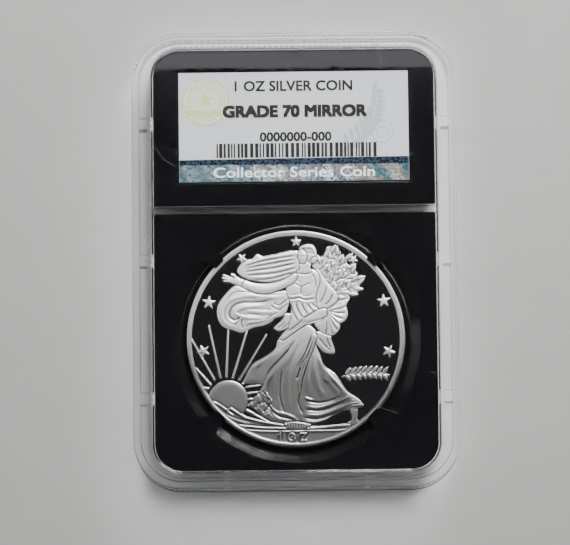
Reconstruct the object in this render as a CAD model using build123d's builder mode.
"""Graded coin slab: a sealed clear holder with a large silver coin and its grading label.

The slab lies on its back. +Z points out through the front window and +Y towards the label end.
The origin is the middle of the plane that the slab rests on. Two clear shells meet half way up
and are welded round their rims. Between them, a black core carries the coin on four prongs, and
a black frame carries the printed labels. All sizes are in millimetres.
"""

import os
from math import cos, pi, radians, sin

from build123d import *

# Overall size
SLAB_WIDTH = 60.4
SLAB_LENGTH = 85.6
CORNER_RADIUS = 9.0

# Rim, as distances inwards from the slab's outline
RIM_SIDE = 4.0  # to the window along the sides
RIM_END = 3.4  # to the window at both ends
RIDGE_INSET = 1.35  # to the raised stacking ridge
RIDGE_SLOPE = 0.55  # width of the slope from the ridge down to the window
SHOULDER_DROP = 0.4  # the rim's shoulder below the top of the ridge
SHOULDER_ROUND = 0.3
RIDGE_ROUND = 0.15

# Grip ribs round the outside
RIB_PITCH = 1.07
RIB_DEPTH = 0.2
RIB_CREST_INSET = 0.05  # the crests lie this far inside the shoulder above them
RIB_TO_WELD = 0.3
RIB_TO_SHOULDER = 0.6

# Walls of the two shells
WINDOW_WALL = 1.5
OUTER_WALL = 1.4
INNER_WALL = 0.9
RIM_ROOF = 1.2
CHAMBER_OVERLAP = 0.25  # the chamber reaches this far past the window's edge
FRONT_RECESS = 1.0  # front window below the top of the ridge
REAR_RECESS = 0.4  # rear window above the resting plane
FOOT_WIDTH = 1.6
FOOT_ROUND = 0.12
STACK_HEIGHT_CLEARANCE = 0.1
STACK_SIDE_CLEARANCE = 0.2

# Cross webs in the hollow of the rim
SIDE_WEB_LENGTH = 2.2
SIDE_WEB_SPACING = 25.8
SIDE_WEB_COUNT = 3
END_WEB_LENGTH = 0.9
END_WEB_SPACING = 26.0
END_WEB_COUNT = 2

# Weld tongue on the rear shell and its groove in the front shell
TONGUE_INSET = 0.6
TONGUE_WIDTH = 0.4
TONGUE_HEIGHT = 0.5
TONGUE_CLEARANCE = 0.05
WELD_GAP = 0.02  # left between the shells' rims by the melted tongue

# Divider between the label chamber and the coin chamber
DIVIDER_FROM_TOP = 33.0
DIVIDER_WIDTH = 1.1
BEAD_HEIGHT = 0.25
BEAD_SLOPE = 0.2
BEAD_NOTCH_CLEARANCE = 0.3

# Coin
COIN_DIAMETER = 40.6
COIN_THICKNESS = 2.98
COIN_RIM_WIDTH = 0.75
COIN_RIM_SLOPE = 0.2
COIN_FIELD_DEPTH = 0.3
REED_COUNT = 200
REED_DEPTH = 0.08
COIN_FROM_BOTTOM = 28.0

# Black core round the coin
CORE_SIDE_CLEARANCE = 0.1
CORE_FACE_CLEARANCE = 0.05
CORE_CORNER = 0.6  # where the core and the label frame meet the divider
COIN_GAP = 2.9  # from the coin's edge to the opening in the core's face
BEVEL_WIDTH = 2.0
BEVEL_DEPTH = 1.3
PRONG_COUNT = 4
PRONG_OVERLAP = 0.5  # how far a prong reaches over the coin's rim
PRONG_LIP = 0.24  # thickness of a prong over the coin
PRONG_TIP_WIDTH = 2.1
PRONG_ROOT_WIDTH = 4.5
COIN_SIDE_PLAY = 0.05
COIN_FACE_PLAY = 0.02

# Labels and the frame that holds them
LABEL_WIDTH = 42.9
LABEL_LENGTH = 20.7
LABEL_THICKNESS = 0.3
LABEL_CORNER = 0.25
LABEL_FROM_TOP = 7.3
LABEL_SIDE_GAP = 0.35
LABEL_TOP_GAP = 0.6
LABEL_BOTTOM_GAP = 0.3
POCKET_DEPTH = 0.75
POCKET_CORNER = 0.5
POCKET_ROUND = 0.18
GATE_MARK_RADIUS = 1.4
GATE_MARK_DEPTH = 0.2
GATE_MARK_FROM_TOP = 4.8

# Foil on the front label, and the round foil on the rear label
FOIL_LOW_LENGTH = 4.1
FOIL_HIGH_LENGTH = 4.4
FOIL_BOW = 0.2
FOIL_THICKNESS = 0.05
FOIL_DISC_RADIUS = 6.5
FOIL_DISC_FROM_SIDE = 9.5
FOIL_DISC_SCALLOPS = 24
FOIL_DISC_SCALLOP_DEPTH = 0.2

# Heights above the resting plane. The slab's thickness follows the coin's.
CHAMBER_FLOOR_Z = REAR_RECESS + WINDOW_WALL
CORE_REAR_Z = CHAMBER_FLOOR_Z + CORE_FACE_CLEARANCE
COIN_REAR_Z = CORE_REAR_Z + PRONG_LIP + COIN_FACE_PLAY
COIN_FRONT_Z = COIN_REAR_Z + COIN_THICKNESS
CORE_FRONT_Z = COIN_FRONT_Z + COIN_FACE_PLAY + PRONG_LIP
CHAMBER_TOP_Z = CORE_FRONT_Z + CORE_FACE_CLEARANCE
FRONT_WINDOW_Z = CHAMBER_TOP_Z + WINDOW_WALL
SLAB_THICKNESS = FRONT_WINDOW_Z + FRONT_RECESS
SHOULDER_Z = SLAB_THICKNESS - SHOULDER_DROP
FOOT_HEIGHT = FRONT_RECESS - STACK_HEIGHT_CLEARANCE
WELD_Z = SLAB_THICKNESS / 2
FRONT_EDGE_Z = WELD_Z + WELD_GAP / 2
REAR_EDGE_Z = WELD_Z - WELD_GAP / 2
CORE_THICKNESS = CORE_FRONT_Z - CORE_REAR_Z
FRONT_HOLLOW_Z = SHOULDER_Z - RIM_ROOF
REAR_HOLLOW_Z = FOOT_HEIGHT + RIM_ROOF

# Outlines
RIB_VALLEY_INSET = RIB_CREST_INSET + RIB_DEPTH
WINDOW_WIDTH = SLAB_WIDTH - 2 * RIM_SIDE
WINDOW_LENGTH = SLAB_LENGTH - 2 * RIM_END
WINDOW_CORNER = CORNER_RADIUS - RIM_SIDE
CHAMBER_WIDTH = WINDOW_WIDTH + 2 * CHAMBER_OVERLAP
POCKET_WIDTH = LABEL_WIDTH + 2 * LABEL_SIDE_GAP
POCKET_LENGTH = LABEL_LENGTH + LABEL_TOP_GAP + LABEL_BOTTOM_GAP
COIN_RADIUS = COIN_DIAMETER / 2
OPENING_RADIUS = COIN_RADIUS + COIN_GAP
BORE_RADIUS = OPENING_RADIUS - BEVEL_WIDTH
SEAT_RADIUS = COIN_RADIUS + COIN_SIDE_PLAY

# Places along Y
TOP_Y = SLAB_LENGTH / 2
DIVIDER_TOP_Y = TOP_Y - DIVIDER_FROM_TOP
DIVIDER_Y = DIVIDER_TOP_Y - DIVIDER_WIDTH / 2
DIVIDER_BOTTOM_Y = DIVIDER_TOP_Y - DIVIDER_WIDTH
COIN_Y = COIN_FROM_BOTTOM - TOP_Y
LABEL_Y = TOP_Y - LABEL_FROM_TOP - LABEL_LENGTH / 2
POCKET_Y = LABEL_Y + (LABEL_TOP_GAP - LABEL_BOTTOM_GAP) / 2

os.makedirs("parts", exist_ok=True)


def slab_outline(inset, mode=Mode.ADD):
    """The slab's rounded outline, moved inwards."""
    width = SLAB_WIDTH - 2 * inset
    length = SLAB_LENGTH - 2 * inset
    RectangleRounded(width, length, CORNER_RADIUS - inset, mode=mode)


def window_outline(growth=0.0, mode=Mode.ADD):
    """The window's outline, moved outwards."""
    width = WINDOW_WIDTH + 2 * growth
    length = WINDOW_LENGTH + 2 * growth
    RectangleRounded(width, length, WINDOW_CORNER + growth, mode=mode)


def insert_outline(low_y, high_y):
    """The part of the chamber between two places along Y, with clearance to its walls."""
    window_outline(CHAMBER_OVERLAP - CORE_SIDE_CLEARANCE)
    with Locations((0, (low_y + high_y) / 2)):
        Rectangle(CHAMBER_WIDTH, high_y - low_y, mode=Mode.INTERSECT)


def rim_hollow():
    """The hollow in the rim, which cross webs break on the long sides and at the coin end."""
    slab_outline(OUTER_WALL)
    window_outline(CHAMBER_OVERLAP + INNER_WALL, mode=Mode.SUBTRACT)
    with GridLocations(SLAB_WIDTH, SIDE_WEB_SPACING, 2, SIDE_WEB_COUNT):
        Rectangle(SLAB_WIDTH / 2, SIDE_WEB_LENGTH, mode=Mode.SUBTRACT)
    with Locations((0, -TOP_Y)):
        with GridLocations(END_WEB_SPACING, 0, END_WEB_COUNT, 1):
            Rectangle(END_WEB_LENGTH, SLAB_LENGTH / 2, mode=Mode.SUBTRACT)


def weld_ring(clearance):
    """The plan of the weld tongue, with clearance added on both sides."""
    slab_outline(TONGUE_INSET - clearance)
    slab_outline(TONGUE_INSET + TONGUE_WIDTH + clearance, mode=Mode.SUBTRACT)


def divider_plan():
    with Locations((0, DIVIDER_Y)):
        Rectangle(CHAMBER_WIDTH + INNER_WALL, DIVIDER_WIDTH)


def on_pocket_outline(edge):
    """True for an edge of a label pocket, and false for one of the frame's own outline."""
    middle = edge.center()
    inside_width = abs(middle.X) < POCKET_WIDTH / 2 + LABEL_SIDE_GAP
    inside_length = abs(middle.Y - POCKET_Y) < POCKET_LENGTH / 2 + LABEL_BOTTOM_GAP
    return inside_width and inside_length


def arcs_along_line(start, end, outward):
    """Rib after rib along a straight side."""
    run = end - start
    count = round(run.length / RIB_PITCH)
    for i in range(count):
        valley = start + run * (i / count)
        next_valley = start + run * ((i + 1) / count)
        crest = (valley + next_valley) / 2 + outward * RIB_DEPTH
        ThreePointArc(valley, crest, next_valley)


def arcs_round_circle(centre, radius, first_angle, last_angle, count, depth):
    """Arc after arc round a circle, each of them standing out by depth."""

    def at(distance, angle):
        return centre + Vector(cos(radians(angle)), sin(radians(angle))) * distance

    step = (last_angle - first_angle) / count
    for i in range(count):
        angle = first_angle + i * step
        crest = at(radius + depth, angle + step / 2)
        ThreePointArc(at(radius, angle), crest, at(radius, angle + step))


def ribbed_outline():
    """The slab's outline as grip ribs, from valley to valley."""
    half_width = SLAB_WIDTH / 2 - RIB_VALLEY_INSET
    half_length = SLAB_LENGTH / 2 - RIB_VALLEY_INSET
    radius = CORNER_RADIUS - RIB_VALLEY_INSET
    corner_x = half_width - radius
    corner_y = half_length - radius
    ribs_per_corner = round(radius * pi / 2 / RIB_PITCH)
    for side_x, side_y, angle in [(1, 1, 0), (-1, 1, 90), (-1, -1, 180), (1, -1, 270)]:
        centre = Vector(side_x * corner_x, side_y * corner_y)
        arcs_round_circle(centre, radius, angle, angle + 90, ribs_per_corner, RIB_DEPTH)
    for side in (1, -1):
        low = Vector(side * half_width, -corner_y)
        high = Vector(side * half_width, corner_y)
        arcs_along_line(low, high, Vector(side, 0))
        left = Vector(-corner_x, side * half_length)
        right = Vector(corner_x, side * half_length)
        arcs_along_line(left, right, Vector(0, side))


# Front shell: clear, with the ridge that the foot of a slab above fits inside
with BuildPart() as front_shell:
    with BuildSketch(Plane.XY.offset(FRONT_EDGE_Z)):
        slab_outline(RIB_VALLEY_INSET)
    extrude(amount=RIB_TO_WELD)
    with BuildSketch(Plane.XY.offset(FRONT_EDGE_Z + RIB_TO_WELD)):
        with BuildLine():
            ribbed_outline()
        make_face()
    extrude(amount=SHOULDER_Z - RIB_TO_SHOULDER - FRONT_EDGE_Z - RIB_TO_WELD)
    with BuildSketch(Plane.XY.offset(SHOULDER_Z - RIB_TO_SHOULDER)):
        slab_outline(0)
    extrude(amount=RIB_TO_SHOULDER)
    fillet(front_shell.edges().group_by(Axis.Z)[-1], SHOULDER_ROUND)
    with BuildSketch(Plane.XY.offset(SHOULDER_Z)):
        slab_outline(RIDGE_INSET)
    extrude(amount=SHOULDER_DROP)

    with BuildSketch(Plane.XY.offset(FRONT_WINDOW_Z)):
        window_outline()
    with BuildSketch(Plane.XY.offset(SLAB_THICKNESS)):
        window_outline(RIDGE_SLOPE)
    loft(ruled=True, mode=Mode.SUBTRACT)
    fillet(front_shell.edges().group_by(Axis.Z)[-1], RIDGE_ROUND)

    with BuildSketch(Plane.XY.offset(FRONT_EDGE_Z)):
        window_outline(CHAMBER_OVERLAP)
    extrude(amount=CHAMBER_TOP_Z - FRONT_EDGE_Z, mode=Mode.SUBTRACT)
    with BuildSketch(Plane.XY.offset(FRONT_EDGE_Z)):
        rim_hollow()
    extrude(amount=FRONT_HOLLOW_Z - FRONT_EDGE_Z, mode=Mode.SUBTRACT)
    with BuildSketch(Plane.XY.offset(FRONT_EDGE_Z)):
        weld_ring(TONGUE_CLEARANCE)
    extrude(amount=TONGUE_HEIGHT + TONGUE_CLEARANCE, mode=Mode.SUBTRACT)

    with BuildSketch(Plane.XY.offset(FRONT_EDGE_Z)):
        divider_plan()
    extrude(amount=CHAMBER_TOP_Z - FRONT_EDGE_Z)
    # The bead on the window is a trapezium in section and ends in the ridge's slopes.
    with BuildSketch(Plane.YZ):
        with BuildLine():
            bead_half = DIVIDER_WIDTH / 2 + BEAD_SLOPE
            Polyline(
                (DIVIDER_Y - bead_half, FRONT_WINDOW_Z - BEAD_HEIGHT),
                (DIVIDER_Y - bead_half, FRONT_WINDOW_Z),
                (DIVIDER_Y - DIVIDER_WIDTH / 2, FRONT_WINDOW_Z + BEAD_HEIGHT),
                (DIVIDER_Y + DIVIDER_WIDTH / 2, FRONT_WINDOW_Z + BEAD_HEIGHT),
                (DIVIDER_Y + bead_half, FRONT_WINDOW_Z),
                (DIVIDER_Y + bead_half, FRONT_WINDOW_Z - BEAD_HEIGHT),
                close=True,
            )
        make_face()
    extrude(amount=(WINDOW_WIDTH + RIDGE_SLOPE) / 2, both=True)
front_shell.part.label = "front_shell"
export_step(front_shell.part, "parts/front_shell.step")

# Rear shell: clear, with the foot that the slab rests on and the weld tongue
with BuildPart() as rear_shell:
    with BuildSketch(Plane.XY.offset(FOOT_HEIGHT)):
        slab_outline(0)
    extrude(amount=RIB_TO_SHOULDER)
    fillet(rear_shell.edges().group_by(Axis.Z)[0], SHOULDER_ROUND)
    with BuildSketch(Plane.XY.offset(FOOT_HEIGHT + RIB_TO_SHOULDER)):
        with BuildLine():
            ribbed_outline()
        make_face()
    extrude(amount=REAR_EDGE_Z - RIB_TO_WELD - FOOT_HEIGHT - RIB_TO_SHOULDER)
    with BuildSketch(Plane.XY.offset(REAR_EDGE_Z - RIB_TO_WELD)):
        slab_outline(RIB_VALLEY_INSET)
    extrude(amount=RIB_TO_WELD)

    with BuildSketch(Plane.XY):
        window_outline(-STACK_SIDE_CLEARANCE)
    extrude(amount=FOOT_HEIGHT)
    with BuildSketch(Plane.XY):
        window_outline(-STACK_SIDE_CLEARANCE - FOOT_WIDTH)
    extrude(amount=REAR_RECESS, mode=Mode.SUBTRACT)
    fillet(rear_shell.edges().group_by(Axis.Z)[0], FOOT_ROUND)
    # The foot is notched where it would stand on the bead of the slab below.
    with BuildSketch(Plane.XY):
        with Locations((0, DIVIDER_Y)):
            notch_width = DIVIDER_WIDTH + 2 * BEAD_SLOPE + 2 * BEAD_NOTCH_CLEARANCE
            Rectangle(WINDOW_WIDTH, notch_width)
    extrude(amount=REAR_RECESS, mode=Mode.SUBTRACT)

    with BuildSketch(Plane.XY.offset(CHAMBER_FLOOR_Z)):
        window_outline(CHAMBER_OVERLAP)
    extrude(amount=REAR_EDGE_Z - CHAMBER_FLOOR_Z, mode=Mode.SUBTRACT)
    with BuildSketch(Plane.XY.offset(REAR_HOLLOW_Z)):
        rim_hollow()
    extrude(amount=REAR_EDGE_Z - REAR_HOLLOW_Z, mode=Mode.SUBTRACT)
    with BuildSketch(Plane.XY.offset(CHAMBER_FLOOR_Z)):
        divider_plan()
    extrude(amount=REAR_EDGE_Z - CHAMBER_FLOOR_Z)
    with BuildSketch(Plane.XY.offset(REAR_EDGE_Z)):
        weld_ring(0)
    extrude(amount=TONGUE_HEIGHT)
rear_shell.part.label = "rear_shell"
export_step(rear_shell.part, "parts/rear_shell.step")

# Coin core: black, with a round opening and four prongs that hold the coin by its rim
with BuildPart() as coin_core:
    core_low_y = -WINDOW_LENGTH / 2 - CHAMBER_OVERLAP + CORE_SIDE_CLEARANCE
    core_high_y = DIVIDER_BOTTOM_Y - CORE_SIDE_CLEARANCE
    with BuildSketch(Plane.XY.offset(CORE_REAR_Z)):
        insert_outline(core_low_y, core_high_y)
    extrude(amount=CORE_THICKNESS)
    fillet(coin_core.edges().filter_by(Axis.Z).group_by(Axis.Y)[-1], CORE_CORNER)
    with Locations((0, COIN_Y, (CORE_FRONT_Z + CORE_REAR_Z) / 2)):
        Cylinder(SEAT_RADIUS, CORE_THICKNESS, mode=Mode.SUBTRACT)
    # The bevels stop short of each other and leave a web that meets the coin's edge.
    for face_z, inward in [(CORE_FRONT_Z, -1), (CORE_REAR_Z, 1)]:
        with BuildSketch(Plane.XY.offset(face_z)):
            with Locations((0, COIN_Y)):
                Circle(OPENING_RADIUS)
        with BuildSketch(Plane.XY.offset(face_z + inward * BEVEL_DEPTH)):
            with Locations((0, COIN_Y)):
                Circle(BORE_RADIUS)
        loft(mode=Mode.SUBTRACT)

    with BuildSketch(Plane.XY.offset(CORE_REAR_Z)):
        with Locations((0, COIN_Y)):
            with PolarLocations(0, PRONG_COUNT, start_angle=180 / PRONG_COUNT):
                tip = COIN_RADIUS - PRONG_OVERLAP
                # The root lies just inside the solid face round the opening.
                root = OPENING_RADIUS + PRONG_OVERLAP
                Polygon(
                    (tip, -PRONG_TIP_WIDTH / 2),
                    (root, -PRONG_ROOT_WIDTH / 2),
                    (root, PRONG_ROOT_WIDTH / 2),
                    (tip, PRONG_TIP_WIDTH / 2),
                    align=None,
                )
    extrude(amount=CORE_THICKNESS)
    with Locations((0, COIN_Y, (COIN_FRONT_Z + COIN_REAR_Z) / 2)):
        Cylinder(SEAT_RADIUS, COIN_THICKNESS + 2 * COIN_FACE_PLAY, mode=Mode.SUBTRACT)
coin_core.part.label = "coin_core"
export_step(coin_core.part, "parts/coin_core.step")

# Label frame: black, with a pocket for a label in each face
with BuildPart() as label_frame:
    frame_low_y = DIVIDER_TOP_Y + CORE_SIDE_CLEARANCE
    frame_high_y = WINDOW_LENGTH / 2 + CHAMBER_OVERLAP - CORE_SIDE_CLEARANCE
    with BuildSketch(Plane.XY.offset(CORE_REAR_Z)):
        insert_outline(frame_low_y, frame_high_y)
    extrude(amount=CORE_THICKNESS)
    fillet(label_frame.edges().filter_by(Axis.Z).group_by(Axis.Y)[0], CORE_CORNER)
    for face_z, inward, face_group in [(CORE_FRONT_Z, -1, -1), (CORE_REAR_Z, 1, 0)]:
        with BuildSketch(Plane.XY.offset(face_z)):
            with Locations((0, POCKET_Y)):
                RectangleRounded(POCKET_WIDTH, POCKET_LENGTH, POCKET_CORNER)
        extrude(amount=inward * POCKET_DEPTH, mode=Mode.SUBTRACT)
        face_edges = label_frame.edges().group_by(Axis.Z)[face_group]
        pocket_edges = face_edges.filter_by(on_pocket_outline)
        fillet(pocket_edges, POCKET_ROUND)
    # The gate mark is a shallow dimple in the border above the front pocket.
    gate_ball = (GATE_MARK_RADIUS**2 + GATE_MARK_DEPTH**2) / (2 * GATE_MARK_DEPTH)
    with Locations((0, TOP_Y - GATE_MARK_FROM_TOP, CORE_FRONT_Z - GATE_MARK_DEPTH + gate_ball)):
        Sphere(gate_ball, mode=Mode.SUBTRACT)
label_frame.part.label = "label_frame"
export_step(label_frame.part, "parts/label_frame.step")

# Coin: a reeded disc with a raised rim round a sunk field on both faces
with BuildPart() as coin:
    with BuildSketch(Plane.XY.offset(COIN_REAR_Z)):
        with BuildLine():
            coin_centre = Vector(0, COIN_Y)
            arcs_round_circle(
                coin_centre, COIN_RADIUS - REED_DEPTH, 0, 360, REED_COUNT, REED_DEPTH
            )
        make_face()
    extrude(amount=COIN_THICKNESS)
    for face_z, inward in [(COIN_FRONT_Z, -1), (COIN_REAR_Z, 1)]:
        with BuildSketch(Plane.XY.offset(face_z)):
            with Locations((0, COIN_Y)):
                Circle(COIN_RADIUS - COIN_RIM_WIDTH)
        with BuildSketch(Plane.XY.offset(face_z + inward * COIN_FIELD_DEPTH)):
            with Locations((0, COIN_Y)):
                Circle(COIN_RADIUS - COIN_RIM_WIDTH - COIN_RIM_SLOPE)
        loft(mode=Mode.SUBTRACT)
coin.part.label = "coin"
export_step(coin.part, "parts/coin.step")

# Label heights, each label lying on the floor of its pocket
FRONT_LABEL_Z = CORE_FRONT_Z - POCKET_DEPTH
REAR_LABEL_Z = CORE_REAR_Z + POCKET_DEPTH

# Front label: printed card
with BuildPart() as front_label:
    with BuildSketch(Plane.XY.offset(FRONT_LABEL_Z)):
        with Locations((0, LABEL_Y)):
            RectangleRounded(LABEL_WIDTH, LABEL_LENGTH, LABEL_CORNER)
    extrude(amount=LABEL_THICKNESS)
front_label.part.label = "front_label"
export_step(front_label.part, "parts/front_label.step")

# Label foil: a strip along the label's lower edge, with a bowed top edge
with BuildPart() as label_foil:
    with BuildSketch(Plane.XY.offset(FRONT_LABEL_Z + LABEL_THICKNESS)):
        with BuildLine():
            foil_right = LABEL_WIDTH / 2 - LABEL_CORNER
            foil_bottom_y = LABEL_Y - LABEL_LENGTH / 2
            left_top = Vector(-foil_right, foil_bottom_y + FOIL_LOW_LENGTH)
            right_top = Vector(foil_right, foil_bottom_y + FOIL_HIGH_LENGTH)
            Line((-foil_right, foil_bottom_y), (foil_right, foil_bottom_y))
            Line((foil_right, foil_bottom_y), right_top)
            ThreePointArc(right_top, (left_top + right_top) / 2 + Vector(0, FOIL_BOW), left_top)
            Line(left_top, (-foil_right, foil_bottom_y))
        make_face()
    extrude(amount=FOIL_THICKNESS)
label_foil.part.label = "label_foil"
export_step(label_foil.part, "parts/label_foil.step")

# Rear label: printed card in the rear pocket
with BuildPart() as rear_label:
    with BuildSketch(Plane.XY.offset(REAR_LABEL_Z)):
        with Locations((0, LABEL_Y)):
            RectangleRounded(LABEL_WIDTH, LABEL_LENGTH, LABEL_CORNER)
    extrude(amount=-LABEL_THICKNESS)
rear_label.part.label = "rear_label"
export_step(rear_label.part, "parts/rear_label.step")

# Foil disc: a scalloped security foil on the rear label
with BuildPart() as foil_disc:
    with BuildSketch(Plane.XY.offset(REAR_LABEL_Z - LABEL_THICKNESS)):
        with BuildLine():
            disc_centre = Vector(LABEL_WIDTH / 2 - FOIL_DISC_FROM_SIDE, LABEL_Y)
            arcs_round_circle(
                disc_centre, FOIL_DISC_RADIUS, 0, 360, FOIL_DISC_SCALLOPS, FOIL_DISC_SCALLOP_DEPTH
            )
        make_face()
    extrude(amount=-FOIL_THICKNESS)
foil_disc.part.label = "foil_disc"
export_step(foil_disc.part, "parts/foil_disc.step")
